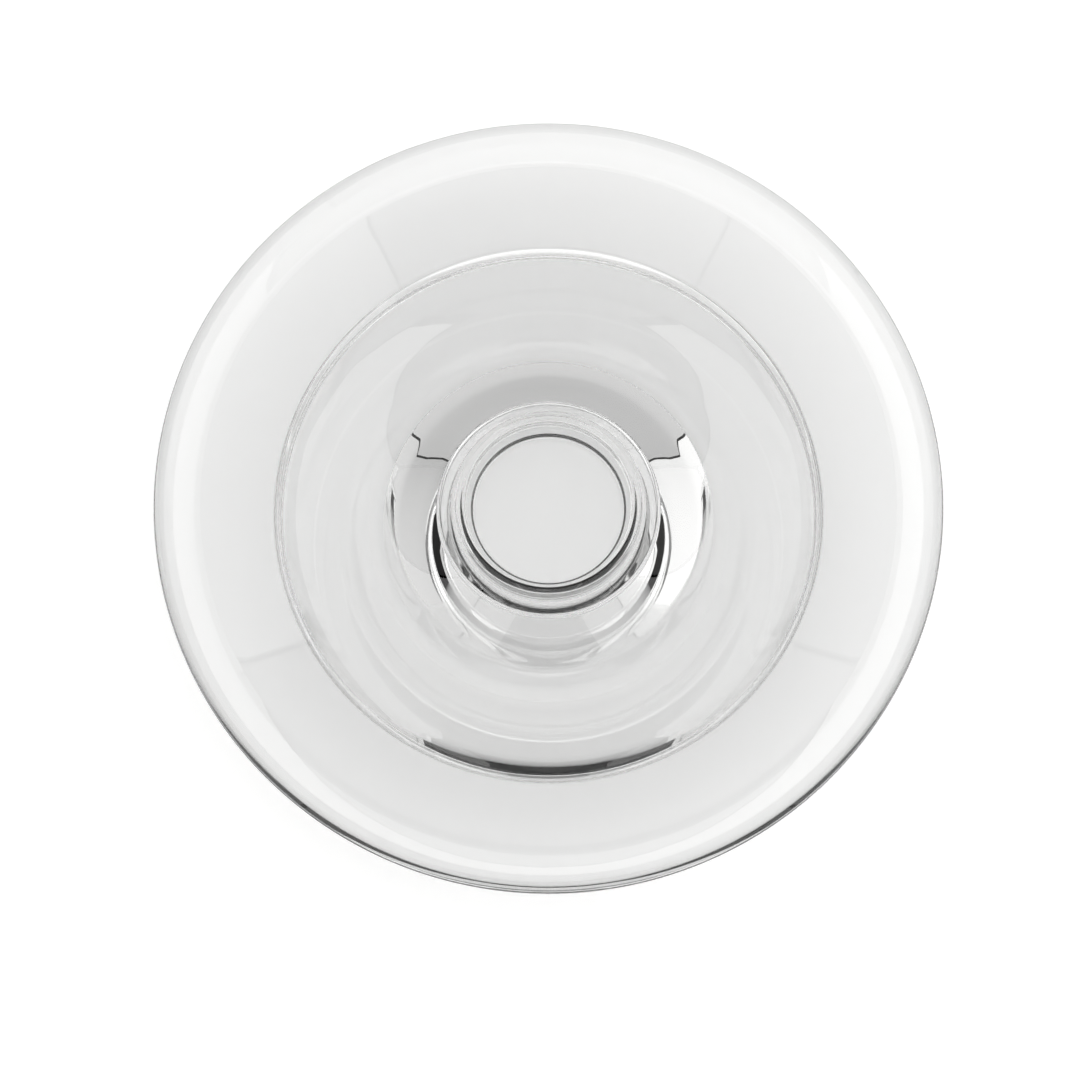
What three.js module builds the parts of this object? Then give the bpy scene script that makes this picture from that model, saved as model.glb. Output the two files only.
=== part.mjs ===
// Chip and dip server: one heavy dish of clear pressed glass, turned about its own axis.
// Millimetres, +Z up. The origin is on the table, under the middle of the dish.
//
// From the middle outwards the top of the dish has a shallow round seat inside a raised
// collar, a shoulder that falls into a round chip well, a low step, a flared band and a
// flat rim with a rolled edge. The glass is hollow under the middle, and the dish stands
// on the ring that is left around that hollow.

import * as THREE from 'three';

// Overall
const rimRadius = 165;
const rimHeight = 64.6;

// Rim and flared band
const rimWidth = 19.5;
const rimRise = 2.5;
const rimThickness = 8.5;
const edgeWidth = 7.5;
const edgeHeight = 2.2;
const edgeDrop = 4.4;
const edgeShoulder = 3.75;
const edgeRound = 1.6;
const bandRise = 16.5;
const bandThickness = 6.4;
const bandRound = 5;
const creaseRound = 0.8;

// Step and chip well
const stepRadius = 114;
const stepHeight = 9;
const stepDraft = 0.3;
const stepRound = 0.8;
const wellInnerRadius = 74.7;
const wellMargin = 6.2;
const wellDepth = 4.5;
const wellThickness = 11.9;
const wellRound = 165;

// Collar and seat in the middle
const seatDepth = 9;
const seatThickness = 10;
const seatSplay = 3;
const seatRound = 1.2;
const collarRadius = 46.3;
const collarWall = 10.6;
const collarLand = 3;
const collarHeight = 10.8;
const collarShoulder = 6.6;
const collarRound = 1.6;

// Hollow underneath, with a boss below the seat and a groove inside the collar, and the
// ring that the dish stands on
const hollowTopInset = 4.7;
const hollowHeight = 30.7;
const hollowRound = 6;
const bendRadius = 63.4;
const bendHeight = 6.6;
const bendRound = 31;
const glassOverHollow = 11.7;
const bossInset = 14.3;
const bossCrown = 0.5;
const bossRound = 3;
const grooveInset = 7.8;
const grooveWidth = 2;
const grooveAboveSeat = 1.5;
const grooveRound = 1;
const footRadius = 73.6;
const footLand = 2.5;
const footRound = 5;

// Facets
const sectors = 64;
const degreesPerFacet = 22.5;

// Heights above the table
const shoulderZ = hollowHeight + glassOverHollow;
const crestZ = shoulderZ + collarHeight;
const seatZ = crestZ - seatDepth;
const wellZ = shoulderZ - wellDepth;
const bossZ = seatZ - seatThickness;
const grooveZ = seatZ + grooveAboveSeat;
const bandTopZ = rimHeight - rimRise;
const stepTopZ = bandTopZ - bandRise;
const stepFootZ = stepTopZ - stepHeight;

// Radii that follow from the ones above
const bandRadius = rimRadius - rimWidth;
const stepFootRadius = stepRadius - stepDraft;
const crestInnerRadius = collarRadius - collarWall;
const crestOuterRadius = crestInnerRadius + collarLand;
const hollowTopRadius = collarRadius - hollowTopInset;
const bossRadius = collarRadius - bossInset;
const grooveRadius = collarRadius - grooveInset;
const wellOuterRadius = stepRadius - wellMargin;

// A corner of the outline: its radius and height, and how far it is rounded.
function corner(r, z, round = 0) {
  return { at: new THREE.Vector2(r, z), round };
}

// How much of the side between two corners the first corner's rounding may use.
function shareOfSide(from, to) {
  const share = to.round > 0 ? 0.5 : 0.95;
  return share * from.at.distanceTo(to.at);
}

// The points of one rounded corner: an arc that touches both of its sides.
function roundedCorner(before, here, after) {
  const toBefore = before.at.clone().sub(here.at).normalize();
  const toAfter = after.at.clone().sub(here.at).normalize();
  const halfAngle = Math.acos(THREE.MathUtils.clamp(toBefore.dot(toAfter), -1, 1)) / 2;
  const wanted = here.round / Math.tan(halfAngle);
  const reach = Math.min(wanted, shareOfSide(here, before), shareOfSide(here, after));
  const radius = reach * Math.tan(halfAngle);
  const bisector = toBefore.clone().add(toAfter).normalize();
  const centre = here.at.clone().addScaledVector(bisector, radius / Math.sin(halfAngle));
  const start = here.at.clone().addScaledVector(toBefore, reach).sub(centre);
  const end = here.at.clone().addScaledVector(toAfter, reach).sub(centre);
  const turn = Math.atan2(start.cross(end), start.dot(end));
  const steps = Math.max(1, Math.ceil(Math.abs(turn) / THREE.MathUtils.degToRad(degreesPerFacet)));
  const points = [];
  for (let step = 0; step <= steps; step += 1) {
    const arm = start.clone().rotateAround(new THREE.Vector2(), turn * step / steps);
    points.push(arm.add(centre));
  }
  return points;
}

// Turns a list of corners into the points of a smooth outline.
function roundedOutline(corners) {
  return corners.flatMap((here, index) => {
    if (here.round <= 0) return [here.at];
    return roundedCorner(corners[index - 1], here, corners[index + 1]);
  });
}

// The underside, from the axis out to the rim.
function undersideCorners() {
  return [
    corner(0, bossZ),
    corner(bossRadius, bossZ - bossCrown, bossRound),
    corner(grooveRadius - grooveWidth / 2, grooveZ, grooveRound),
    corner(grooveRadius + grooveWidth / 2, grooveZ, grooveRound),
    corner(hollowTopRadius, hollowHeight, hollowRound),
    corner(bendRadius, bendHeight, bendRound),
    corner(footRadius - footLand, 0, footRound),
    corner(footRadius + footLand, 0, footRound),
    corner(stepRadius, stepFootZ - wellThickness, bandRound),
    corner(stepRadius + bandThickness / 2, stepTopZ - bandThickness, bandRound),
    corner(bandRadius + bandThickness / 2, bandTopZ - bandThickness, bandRound),
    corner(rimRadius - edgeWidth, rimHeight - rimThickness, creaseRound),
    corner(rimRadius, rimHeight - edgeDrop, edgeRound),
  ];
}

// The top, from the rim back in to the axis.
function topCorners() {
  return [
    corner(rimRadius, rimHeight - edgeHeight, edgeRound),
    corner(rimRadius - edgeShoulder, rimHeight, bandRound),
    corner(bandRadius, bandTopZ, creaseRound),
    corner(stepRadius, stepTopZ, stepRound),
    corner(stepFootRadius, stepFootZ, stepRound),
    corner(wellOuterRadius, wellZ, wellRound),
    corner(wellInnerRadius, wellZ, wellRound),
    corner(collarRadius, shoulderZ, collarRound),
    corner(collarRadius, crestZ - collarShoulder, collarRound),
    corner(crestOuterRadius, crestZ, collarRound),
    corner(crestInnerRadius, crestZ, collarRound),
    corner(crestInnerRadius - seatSplay, seatZ, seatRound),
    corner(0, seatZ),
  ];
}

// The whole dish in one piece.
function servingDish() {
  const outline = roundedOutline([...undersideCorners(), ...topCorners()]);
  const geometry = new THREE.LatheGeometry(outline, sectors);
  geometry.rotateX(Math.PI / 2);
  const material = new THREE.MeshStandardMaterial({ color: 0xedf2f1, roughness: 0.02, metalness: 0 });
  const mesh = new THREE.Mesh(geometry, material);
  mesh.name = 'serving_dish';
  return mesh;
}

const chipAndDipServer = new THREE.Group();
chipAndDipServer.add(servingDish());

export default chipAndDipServer;
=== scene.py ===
"""Chip and dip server in clear pressed glass, laid out as an add-on and run as a script."""

import math

import bmesh
import bpy
from bpy.props import FloatProperty, FloatVectorProperty, IntProperty, PointerProperty
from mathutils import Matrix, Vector


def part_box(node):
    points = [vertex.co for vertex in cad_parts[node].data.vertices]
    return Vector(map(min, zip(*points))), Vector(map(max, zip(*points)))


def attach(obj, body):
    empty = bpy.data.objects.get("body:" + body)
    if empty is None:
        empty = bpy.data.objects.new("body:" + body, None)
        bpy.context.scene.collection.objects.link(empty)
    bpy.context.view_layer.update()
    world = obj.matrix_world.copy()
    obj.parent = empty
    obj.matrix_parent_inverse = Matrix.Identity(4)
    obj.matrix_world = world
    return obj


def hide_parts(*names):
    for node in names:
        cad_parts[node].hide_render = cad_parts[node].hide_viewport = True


bl_info = {
    "name": "Chip and Dip Server",
    "version": (1, 0, 0),
    "blender": (4, 5, 0),
    "location": "3D View > Sidebar > Server",
    "description": "Models a round clear glass chip and dip server on a plain white table",
    "category": "Add Mesh",
}

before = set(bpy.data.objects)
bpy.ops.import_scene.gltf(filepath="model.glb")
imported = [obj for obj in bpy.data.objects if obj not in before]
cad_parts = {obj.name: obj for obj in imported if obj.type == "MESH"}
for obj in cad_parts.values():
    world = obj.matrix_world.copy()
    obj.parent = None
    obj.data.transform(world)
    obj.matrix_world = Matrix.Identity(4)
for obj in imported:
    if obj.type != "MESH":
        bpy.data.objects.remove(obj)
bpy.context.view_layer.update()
_, dish_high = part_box("serving_dish")

FULL_TURN = math.tau
SHARP = 0.0
TABLE_GAP = 0.0002
LONGEST_PATH = 24
MOST_REFLECTIONS = 4
DEGREES_PER_FACE = 5
SPLIT_ROUNDS = 4
SHARED_SIDE = 0.5
FREE_SIDE = 0.95
CLOTH_COLOUR = (1, 0.998, 0.992, 1)


def millimetres(size):
    return size / 1000


LONGEST_FACE = millimetres(8)
WELD_DISTANCE = millimetres(0.005)
START_PLANE = millimetres(1)


def size_property(name, description, default):
    return FloatProperty(
        name=name, description=description, default=default, unit="LENGTH", precision=4
    )


def light_property(name, description, default):
    return FloatVectorProperty(name=name, description=description, default=default, size=2, min=0)


class DishSettings(bpy.types.PropertyGroup):
    """Sizes of the dish, from its axis outwards and from the table up."""

    rim_radius: size_property("Rim Radius", "Axis to the outermost edge", dish_high.x)
    rim_height: size_property("Rim Height", "Table to the top of the rim", millimetres(64.6))
    rim_width: size_property("Rim Width", "Breadth of the thick rim", millimetres(19.5))
    rim_rise: size_property("Rim Rise", "How far the rim climbs outwards", millimetres(2.5))
    rim_thickness: size_property("Rim Thickness", "Glass in the rim", millimetres(8.5))
    edge_width: size_property("Edge Width", "How far the edge's underside slopes in", millimetres(7.5))
    edge_height: size_property("Edge Height", "Rim top down to the top of the upright edge", millimetres(2.2))
    edge_drop: size_property("Edge Drop", "Rim top to the end of the lower slope", millimetres(4.4))
    edge_shoulder: size_property("Edge Shoulder", "Width of the slope on top of the edge", millimetres(3.75))
    edge_round: size_property("Edge Rounding", "Radius of the edge's corners", millimetres(1.6))
    band_rise: size_property("Band Rise", "Height gained across the sloping band", millimetres(16.5))
    band_thickness: size_property("Band Thickness", "Glass in the sloping band", millimetres(6.4))
    band_round: size_property("Band Rounding", "Radius where the band turns", millimetres(5))
    crease_round: size_property("Crease Rounding", "Radius of the rim's creases", millimetres(0.8))
    step_radius: size_property("Step Radius", "Axis to the step above the well", millimetres(114))
    step_height: size_property("Step Height", "Height of the step", millimetres(9))
    step_draft: size_property("Step Draft", "How far the step leans outwards", millimetres(0.3))
    step_round: size_property("Step Rounding", "Radius of the step's corners", millimetres(0.8))
    well_inner: size_property("Well Inner Radius", "Axis to where the well levels out", millimetres(74.7))
    well_outer: size_property("Well Outer Radius", "Axis to the outer end of the well", millimetres(107.8))
    well_depth: size_property("Well Depth", "Drop from the shoulder to the well", millimetres(4.5))
    well_thickness: size_property("Well Thickness", "Glass under the step", millimetres(11.9))
    well_round: size_property("Well Rounding", "Radius of the well's bends", millimetres(165))
    collar_radius: size_property("Collar Radius", "Axis to the collar's outside", millimetres(46.3))
    collar_wall: size_property("Collar Wall", "Thickness of the collar", millimetres(10.6))
    collar_land: size_property("Collar Land", "Flat on top of the collar", millimetres(3))
    collar_height: size_property("Collar Height", "Collar above the shoulder", millimetres(10.8))
    collar_shoulder: size_property("Collar Shoulder", "Height of the collar's slope", millimetres(6.6))
    collar_round: size_property("Collar Rounding", "Radius of the collar's corners", millimetres(1.6))
    seat_depth: size_property("Seat Depth", "Depth of the round seat", millimetres(9))
    seat_thickness: size_property("Seat Thickness", "Glass below the seat", millimetres(10))
    seat_splay: size_property("Seat Splay", "How far the seat narrows downwards", millimetres(3))
    seat_round: size_property("Seat Rounding", "Radius round the seat's floor", millimetres(1.2))
    hollow_radius: size_property("Hollow Radius", "Axis to the top of the hollow", millimetres(41.6))
    hollow_height: size_property("Hollow Height", "Table to the top of the hollow", millimetres(30.7))
    hollow_round: size_property("Hollow Rounding", "Radius at the hollow's top", millimetres(6))
    boss_radius: size_property("Boss Radius", "Axis to the side of the boss below the seat", millimetres(32))
    boss_crown: size_property("Boss Crown", "How far the boss's rim hangs below its middle", millimetres(0.5))
    boss_round: size_property("Boss Rounding", "Radius of the boss's rim", millimetres(3))
    groove_radius: size_property("Groove Radius", "Axis to the groove inside the collar", millimetres(38.5))
    groove_width: size_property("Groove Width", "Width of the groove's top", millimetres(2))
    groove_above_seat: size_property("Groove Above Seat", "Groove's climb past the seat", millimetres(1.5))
    groove_round: size_property("Groove Rounding", "Radius in the groove's top", millimetres(1))
    bend_radius: size_property("Bend Radius", "Axis to the bend in the hollow's wall", millimetres(63.4))
    bend_height: size_property("Bend Height", "Table to the bend in the hollow's wall", millimetres(6.6))
    bend_round: size_property("Bend Rounding", "Radius of that bend", millimetres(31))
    middle_thickness: size_property("Middle Thickness", "Glass over the hollow", millimetres(11.7))
    foot_radius: size_property("Foot Radius", "Axis to the ring it stands on", millimetres(73.6))
    foot_land: size_property("Foot Land", "Half the width of the foot's flat", millimetres(2.5))
    foot_round: size_property("Foot Rounding", "Radius of the foot", millimetres(5))
    spin_steps: IntProperty(name="Spin Steps", description="Divisions round the dish", default=288)


class GlassSettings(bpy.types.PropertyGroup):
    """Colour and surface of the pressed glass."""

    colour: FloatVectorProperty(
        name="Colour",
        description="Faint tint of the clear glass",
        default=(0.86, 0.862, 0.86),
        size=3,
        subtype="COLOR",
        min=0,
        max=1,
    )
    index: FloatProperty(name="Index", description="How strongly it bends light", default=1.5)
    ripple: size_property("Ripple", "Depth of the mould's ripples", millimetres(0.02))
    ripple_length: size_property("Ripple Length", "From one ripple to the next", millimetres(25))
    seed_spacing: size_property("Seed Spacing", "From one seed in the glass to the next", millimetres(34))
    seed_size: size_property("Seed Size", "Radius of the pit over a seed", millimetres(0.5))
    seed_depth: size_property("Seed Depth", "Depth of the pit over a seed", millimetres(0.12))
    scuff_height: size_property("Scuff Height", "How far up the foot is rubbed", millimetres(0.8))
    scuff_length: size_property("Scuff Length", "Length of one rubbed patch", millimetres(4))
    scuff_roughness: FloatProperty(name="Scuff Roughness", description="How matt it is", default=0.35)


class StageSettings(bpy.types.PropertyGroup):
    """White cloth tent, table and camera."""

    tent_half: size_property("Tent Half Width", "Axis to each wall of the tent", 0.5)
    tent_height: size_property("Tent Height", "Table to the tent's roof", 1.5)
    seam: size_property("Seam Width", "Width of the dark seam at each corner", 0.008)
    foot_gap: size_property("Foot Gap", "Dark gap between the walls and the table", 0.012)
    back_wall: light_property("Back Wall", "Light from the back wall, low and high", (0.84, 0.54))
    front_wall: light_property("Front Wall", "Light from the front wall, low and high", (0.9, 0.6))
    left_wall: light_property("Left Wall", "Light from the left wall, low and high", (0.95, 0.5))
    right_wall: light_property("Right Wall", "Light from the right wall, low and high", (1.3, 0.95))
    port_size: size_property("Port Size", "Side of the dark opening the camera looks through", 0.36)
    port_light: FloatProperty(name="Port Light", description="Dim light in that opening", default=0.3)
    roof_light: FloatProperty(name="Roof", description="Light from the roof", default=2.05)
    table_white: FloatProperty(name="Table White", description="Whiteness of the table", default=0.9)
    table_glow: FloatProperty(name="Table Glow", description="The table's own light", default=0.31)
    camera_distance: size_property("Camera Distance", "Aim point to the camera", 1.5)
    camera_elevation: FloatProperty(
        name="Camera Elevation",
        description="Angle above the table",
        default=math.radians(77.3),
        subtype="ANGLE",
    )
    aim_height: size_property("Aim Height", "Height of the point aimed at", 0.045)
    view_width: size_property("View Width", "Width seen at the aim point", 0.456274)
    shift_right: FloatProperty(name="Shift Right", description="Sideways framing", default=-0.00787037)
    shift_up: FloatProperty(name="Shift Up", description="Upright framing", default=-0.0296296)


def deselect_all():
    if bpy.context.object and bpy.context.object.mode != "OBJECT":
        bpy.ops.object.mode_set(mode="OBJECT")
    bpy.ops.object.select_all(action="DESELECT")


def outline_corners(s):
    """The section's corners as (radius, height, rounding), up the underside and back over the top."""
    shoulder_z = s.hollow_height + s.middle_thickness
    crest_z = shoulder_z + s.collar_height
    seat_z = crest_z - s.seat_depth
    well_z = shoulder_z - s.well_depth
    band_top_z = s.rim_height - s.rim_rise
    step_top_z = band_top_z - s.band_rise
    step_foot_z = step_top_z - s.step_height
    band_radius = s.rim_radius - s.rim_width
    step_foot_radius = s.step_radius - s.step_draft
    crest_inner = s.collar_radius - s.collar_wall
    crest_outer = crest_inner + s.collar_land
    half_band = s.band_thickness / 2
    boss_z = seat_z - s.seat_thickness
    groove_z = seat_z + s.groove_above_seat
    underside = [
        (0, boss_z, SHARP),
        (s.boss_radius, boss_z - s.boss_crown, s.boss_round),
        (s.groove_radius - s.groove_width / 2, groove_z, s.groove_round),
        (s.groove_radius + s.groove_width / 2, groove_z, s.groove_round),
        (s.hollow_radius, s.hollow_height, s.hollow_round),
        (s.bend_radius, s.bend_height, s.bend_round),
        (s.foot_radius - s.foot_land, 0, s.foot_round),
        (s.foot_radius + s.foot_land, 0, s.foot_round),
        (s.step_radius, step_foot_z - s.well_thickness, s.band_round),
        (s.step_radius + half_band, step_top_z - s.band_thickness, s.band_round),
        (band_radius + half_band, band_top_z - s.band_thickness, s.band_round),
        (s.rim_radius - s.edge_width, s.rim_height - s.rim_thickness, s.crease_round),
        (s.rim_radius, s.rim_height - s.edge_drop, s.edge_round),
    ]
    top = [
        (s.rim_radius, s.rim_height - s.edge_height, s.edge_round),
        (s.rim_radius - s.edge_shoulder, s.rim_height, s.band_round),
        (band_radius, band_top_z, s.crease_round),
        (s.step_radius, step_top_z, s.step_round),
        (step_foot_radius, step_foot_z, s.step_round),
        (s.well_outer, well_z, s.well_round),
        (s.well_inner, well_z, s.well_round),
        (s.collar_radius, shoulder_z, s.collar_round),
        (s.collar_radius, crest_z - s.collar_shoulder, s.collar_round),
        (crest_outer, crest_z, s.collar_round),
        (crest_inner, crest_z, s.collar_round),
        (crest_inner - s.seat_splay, seat_z, s.seat_round),
        (0, seat_z, SHARP),
    ]
    return underside + top


def rounded_corner(before, corner, after):
    """Where a corner's arc starts and ends, its centre, and how far the outline turns on it."""
    here = Vector(corner[:2])
    back = Vector(before[:2]) - here
    on = Vector(after[:2]) - here
    half_angle = back.angle(on) / 2
    room_back = (SHARED_SIDE if before[2] else FREE_SIDE) * back.length
    room_on = (SHARED_SIDE if after[2] else FREE_SIDE) * on.length
    reach = min(corner[2] / math.tan(half_angle), room_back, room_on)
    towards_centre = (back.normalized() + on.normalized()).normalized()
    centre = here + towards_centre * reach / math.cos(half_angle)
    turn = math.copysign(math.pi - 2 * half_angle, (-back).cross(on))
    return here + back.normalized() * reach, here + on.normalized() * reach, centre, turn


def extrude_to(place, target):
    """Extrudes the outline's end straight to a place in the section."""
    step = target - place
    bpy.ops.mesh.extrude_region_move(
        TRANSFORM_OT_translate={"value": (step.x, 0, step.y), "orient_type": "GLOBAL"}
    )
    return target


def draw_outline(corners):
    """Extrudes one vertex along the section: straight sides, and arcs spun about their centres."""
    place = Vector(corners[0][:2])
    bpy.ops.mesh.primitive_plane_add(size=START_PLANE, location=(place.x, 0, place.y))
    bpy.ops.object.transform_apply(location=True, rotation=True, scale=True)
    bpy.ops.object.mode_set(mode="EDIT")
    bpy.ops.mesh.merge(type="CENTER")
    for before, corner, after in zip(corners, corners[1:], corners[2:]):
        start, end, centre, turn = rounded_corner(before, corner, after)
        extrude_to(place, start)
        bpy.ops.mesh.spin(
            steps=max(2, math.ceil(abs(math.degrees(turn)) / DEGREES_PER_FACE)),
            angle=turn,
            center=(centre.x, 0, centre.y),
            axis=(0, 1, 0),
        )
        place = end
    extrude_to(place, Vector(corners[-1][:2]))


def divide_long_edges(longest):
    """Halves the outline's long edges until none is left, so that the faces stay small."""
    for _ in range(SPLIT_ROUNDS):
        bpy.ops.mesh.select_mode(type="EDGE")
        bpy.ops.mesh.select_all(action="DESELECT")
        mesh = bmesh.from_edit_mesh(bpy.context.object.data)
        found = False
        for edge in mesh.edges:
            edge.select = edge.calc_length() > longest
            found = found or edge.select
        bmesh.update_edit_mesh(bpy.context.object.data)
        if not found:
            break
        bpy.ops.mesh.subdivide(number_cuts=1)


def spin_outline(steps):
    """Spins the section about the dish's axis into a closed solid."""
    divide_long_edges(LONGEST_FACE)
    bpy.ops.mesh.select_mode(type="VERT")
    bpy.ops.mesh.select_all(action="SELECT")
    bpy.ops.mesh.spin(steps=steps, angle=FULL_TURN, center=(0, 0, 0), axis=(0, 0, 1))
    bpy.ops.mesh.select_all(action="SELECT")
    bpy.ops.mesh.remove_doubles(threshold=WELD_DISTANCE)
    bpy.ops.mesh.normals_make_consistent(inside=False)
    bpy.ops.object.mode_set(mode="OBJECT")


def link(material, output, target):
    material.node_tree.links.new(output, target)


def clear_glass(settings):
    """Clear pressed glass: ripples from the mould, a few seeds, and a scuffed foot."""
    material = bpy.data.materials.new("clear_pressed_glass")
    material.use_nodes = True
    nodes = material.node_tree.nodes
    shader = nodes["Principled BSDF"]
    shader.inputs["Base Color"].default_value = (*settings.colour, 1)
    shader.inputs["IOR"].default_value = settings.index
    shader.inputs["Transmission Weight"].default_value = 1
    place = nodes.new("ShaderNodeTexCoord").outputs["Object"]
    link(material, surface_relief(material, place, settings), shader.inputs["Normal"])
    link(material, foot_scuffs(material, place, settings), shader.inputs["Roughness"])
    return material


def surface_relief(material, place, settings):
    """Long ripples left by the mould, with a tiny pit over each seed in the glass."""
    nodes = material.node_tree.nodes
    ripples = nodes.new("ShaderNodeTexNoise")
    ripples.inputs["Scale"].default_value = 1 / settings.ripple_length
    ripples.inputs["Detail"].default_value = 1
    seeds = nodes.new("ShaderNodeTexVoronoi")
    seeds.inputs["Scale"].default_value = 1 / settings.seed_spacing
    pits = nodes.new("ShaderNodeMapRange")
    pits.interpolation_type = "SMOOTHSTEP"
    pits.inputs["From Max"].default_value = settings.seed_size / settings.seed_spacing
    pits.inputs["To Min"].default_value = -1
    pits.inputs["To Max"].default_value = 0
    ripple_bump = nodes.new("ShaderNodeBump")
    ripple_bump.inputs["Distance"].default_value = settings.ripple
    seed_bump = nodes.new("ShaderNodeBump")
    seed_bump.inputs["Distance"].default_value = settings.seed_depth
    for texture in (ripples, seeds):
        link(material, place, texture.inputs["Vector"])
    link(material, ripples.outputs["Fac"], ripple_bump.inputs["Height"])
    link(material, seeds.outputs["Distance"], pits.inputs["Value"])
    link(material, pits.outputs["Result"], seed_bump.inputs["Height"])
    link(material, ripple_bump.outputs["Normal"], seed_bump.inputs["Normal"])
    return seed_bump.outputs["Normal"]


def foot_scuffs(material, place, settings):
    """Roughness: polished all over, and rubbed matt in patches where the foot meets the table."""
    nodes = material.node_tree.nodes
    height = nodes.new("ShaderNodeSeparateXYZ")
    near_table = nodes.new("ShaderNodeMapRange")
    near_table.inputs["From Max"].default_value = settings.scuff_height
    near_table.inputs["To Min"].default_value = settings.scuff_roughness
    near_table.inputs["To Max"].default_value = 0
    rubs = nodes.new("ShaderNodeTexNoise")
    rubs.inputs["Scale"].default_value = 1 / settings.scuff_length
    rubs.inputs["Detail"].default_value = 4
    patches = nodes.new("ShaderNodeMath")
    patches.operation = "MULTIPLY"
    link(material, place, height.inputs["Vector"])
    link(material, place, rubs.inputs["Vector"])
    link(material, height.outputs["Z"], near_table.inputs["Value"])
    link(material, near_table.outputs["Result"], patches.inputs[0])
    link(material, rubs.outputs["Fac"], patches.inputs[1])
    return patches.outputs["Value"]


class SERVER_OT_add_dish(bpy.types.Operator):
    """Add the glass dish by spinning its rounded section"""

    bl_idname = "server.add_dish"
    bl_label = "Add Glass Dish"

    def execute(self, context):
        sizes = context.scene.dish_settings
        deselect_all()
        corners = outline_corners(sizes)
        draw_outline(corners)
        spin_outline(sizes.spin_steps)
        dish = bpy.context.object
        dish.name = "glass_dish"
        bpy.ops.object.shade_smooth()
        dish.data.materials.append(clear_glass(context.scene.glass_settings))
        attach(dish, "root")
        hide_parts("serving_dish")
        return {"FINISHED"}


def glowing_cloth(name, low, high, height):
    """Cloth lit from behind, from one brightness at the table to another at the roof."""
    material = bpy.data.materials.new(name)
    material.use_nodes = True
    nodes = material.node_tree.nodes
    nodes.clear()
    output = nodes.new("ShaderNodeOutputMaterial")
    glow = nodes.new("ShaderNodeEmission")
    place = nodes.new("ShaderNodeTexCoord")
    axes = nodes.new("ShaderNodeSeparateXYZ")
    fade = nodes.new("ShaderNodeMapRange")
    fade.inputs["From Max"].default_value = height
    fade.inputs["To Min"].default_value = low
    fade.inputs["To Max"].default_value = high
    link(material, place.outputs["Object"], axes.inputs["Vector"])
    link(material, axes.outputs["Z"], fade.inputs["Value"])
    glow.inputs["Color"].default_value = CLOTH_COLOUR
    link(material, fade.outputs["Result"], glow.inputs["Strength"])
    link(material, glow.outputs["Emission"], output.inputs["Surface"])
    return material


def add_panel(name, centre, size, turn, material):
    """A flat panel for the stage, sized, turned and given a material."""
    deselect_all()
    bpy.ops.mesh.primitive_plane_add(size=1, location=centre, rotation=turn)
    panel = bpy.context.object
    panel.name = name
    panel.scale = (size[0], size[1], 1)
    bpy.ops.object.transform_apply(location=True, rotation=True, scale=True)
    panel.data.materials.append(material)
    return panel


def add_tent(s):
    """Four lit cloth walls and a roof, with a dark seam down each corner."""
    half, height = s.tent_half, s.tent_height
    wide = 2 * (half - s.seam)
    tall = height - s.foot_gap
    middle = s.foot_gap + tall / 2
    upright = math.pi / 2
    walls = (
        ("back", (0, half, middle), (wide, tall), (upright, 0, 0), s.back_wall),
        ("front", (0, -half, middle), (wide, tall), (upright, 0, 0), s.front_wall),
        ("left", (-half, 0, middle), (tall, wide), (0, upright, 0), s.left_wall),
        ("right", (half, 0, middle), (tall, wide), (0, upright, 0), s.right_wall),
        ("roof", (0, 0, height), (wide, wide), (0, 0, 0), (s.roof_light, s.roof_light)),
    )
    for name, centre, size, turn, light in walls:
        panel = add_panel("tent_" + name, centre, size, turn, glowing_cloth("cloth_" + name, *light, height))
        panel.visible_camera = False
    behind = -s.camera_distance * math.cos(s.camera_elevation)
    port = add_panel(
        "camera_port",
        (0, behind, height - s.seam),
        (s.port_size, s.port_size),
        (0, 0, 0),
        glowing_cloth("port_dim", s.port_light, s.port_light, height),
    )
    port.visible_camera = False


class SERVER_OT_set_stage(bpy.types.Operator):
    """Set the white table, the cloth tent round it and the camera"""

    bl_idname = "server.set_stage"
    bl_label = "Set Stage"

    def execute(self, context):
        settings = context.scene.stage_settings
        width = 2 * settings.tent_half
        add_tent(settings)
        add_panel("table", (0, 0, -TABLE_GAP), (width, width), (0, 0, 0), table_white(settings))
        set_world(context)
        set_camera(context, settings)
        context.scene.view_settings.view_transform = "Standard"
        allow_long_paths(context.scene.cycles)
        return {"FINISHED"}


def table_white(settings):
    """Matt white top with a little light of its own, as on a lit table."""
    white = settings.table_white
    material = bpy.data.materials.new("table_white")
    material.use_nodes = True
    shader = material.node_tree.nodes["Principled BSDF"]
    shader.inputs["Base Color"].default_value = (white, white, white, 1)
    shader.inputs["Roughness"].default_value = 1
    shader.inputs["Specular IOR Level"].default_value = 0
    shader.inputs["Emission Color"].default_value = (1, 1, 1, 1)
    shader.inputs["Emission Strength"].default_value = settings.table_glow
    return material


def allow_long_paths(cycles):
    """Long paths through the thick glass, with few reflections, which keeps the ring lines dark."""
    cycles.max_bounces = LONGEST_PATH
    cycles.glossy_bounces = MOST_REFLECTIONS
    cycles.transmission_bounces = LONGEST_PATH


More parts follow.
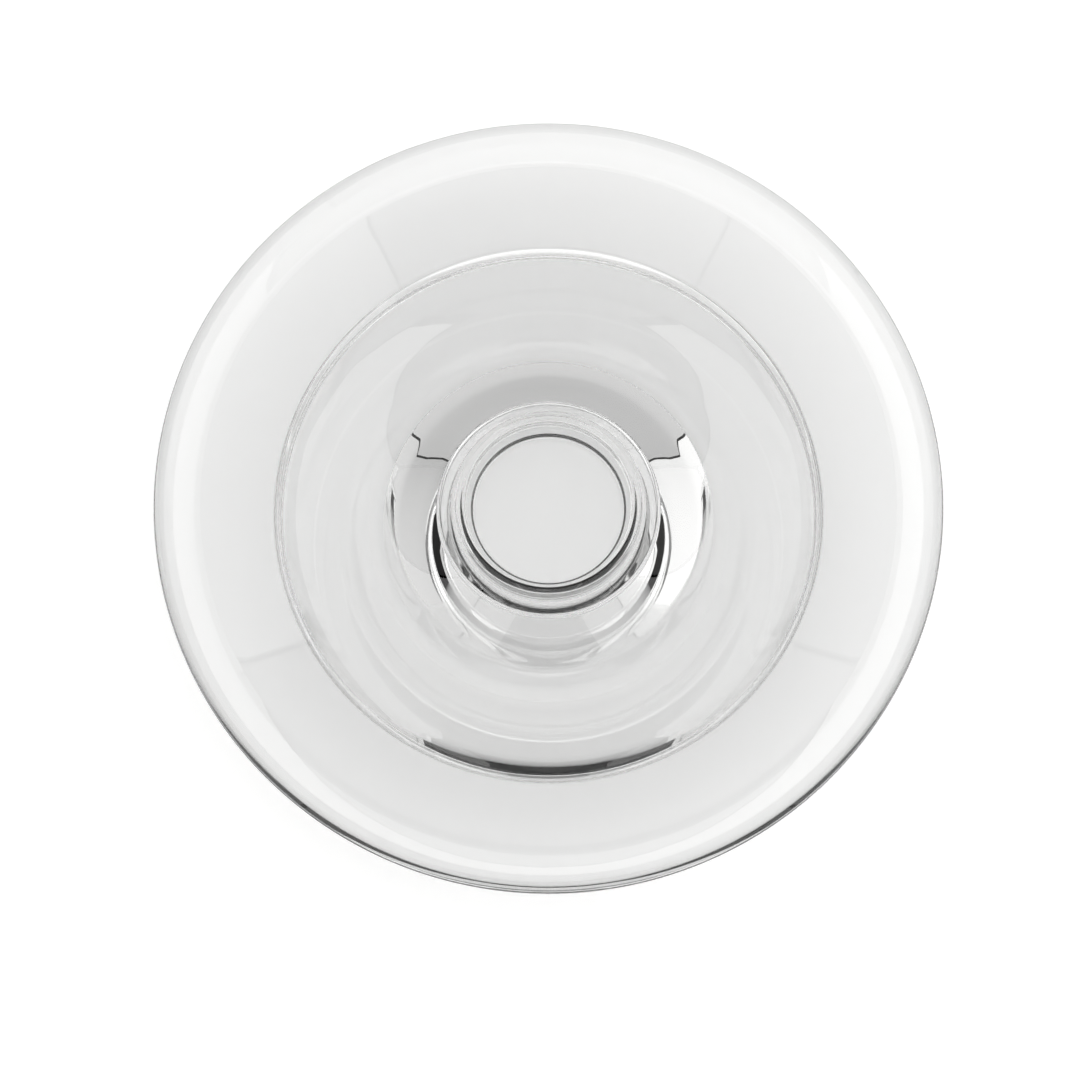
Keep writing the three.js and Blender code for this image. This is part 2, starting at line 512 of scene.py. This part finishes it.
def set_world(context):
    world = bpy.data.worlds.new("white_world")
    context.scene.world = world
    world.use_nodes = True
    nodes = world.node_tree.nodes
    plain = nodes["Background"]
    plain.inputs["Color"].default_value = (1, 1, 1, 1)
    path = nodes.new("ShaderNodeLightPath")
    world.node_tree.links.new(path.outputs["Is Camera Ray"], plain.inputs["Strength"])


def set_camera(context, s):
    data = bpy.data.cameras.new("camera")
    camera = bpy.data.objects.new("camera", data)
    context.scene.collection.objects.link(camera)
    elevation = s.camera_elevation
    camera.location = (
        0,
        -s.camera_distance * math.cos(elevation),
        s.camera_distance * math.sin(elevation) + s.aim_height,
    )
    camera.rotation_euler = (math.pi / 2 - elevation, 0, 0)
    data.angle = 2 * math.atan(s.view_width / 2 / s.camera_distance)
    data.shift_x = s.shift_right
    data.shift_y = s.shift_up
    context.scene.camera = camera


class SERVER_PT_sidebar(bpy.types.Panel):
    """Lists the steps and sizes in the 3D view's sidebar"""

    bl_label = "Chip and Dip Server"
    bl_idname = "SERVER_PT_sidebar"
    bl_space_type = "VIEW_3D"
    bl_region_type = "UI"
    bl_category = "Server"

    def draw(self, context):
        for step in (SERVER_OT_add_dish, SERVER_OT_set_stage):
            self.layout.operator(step.bl_idname)
        for group in ("dish_settings", "glass_settings", "stage_settings"):
            settings = getattr(context.scene, group)
            column = self.layout.column(align=True)
            for name in type(settings).__annotations__:
                column.prop(settings, name)


CLASSES = (
    DishSettings,
    GlassSettings,
    StageSettings,
    SERVER_OT_add_dish,
    SERVER_OT_set_stage,
    SERVER_PT_sidebar,
)


def register():
    for item in CLASSES:
        bpy.utils.register_class(item)
    bpy.types.Scene.dish_settings = PointerProperty(type=DishSettings)
    bpy.types.Scene.glass_settings = PointerProperty(type=GlassSettings)
    bpy.types.Scene.stage_settings = PointerProperty(type=StageSettings)


def unregister():
    del bpy.types.Scene.stage_settings
    del bpy.types.Scene.glass_settings
    del bpy.types.Scene.dish_settings
    for item in reversed(CLASSES):
        bpy.utils.unregister_class(item)


def main():
    register()
    bpy.ops.server.add_dish()
    bpy.ops.server.set_stage()


if __name__ == "__main__":
    main()
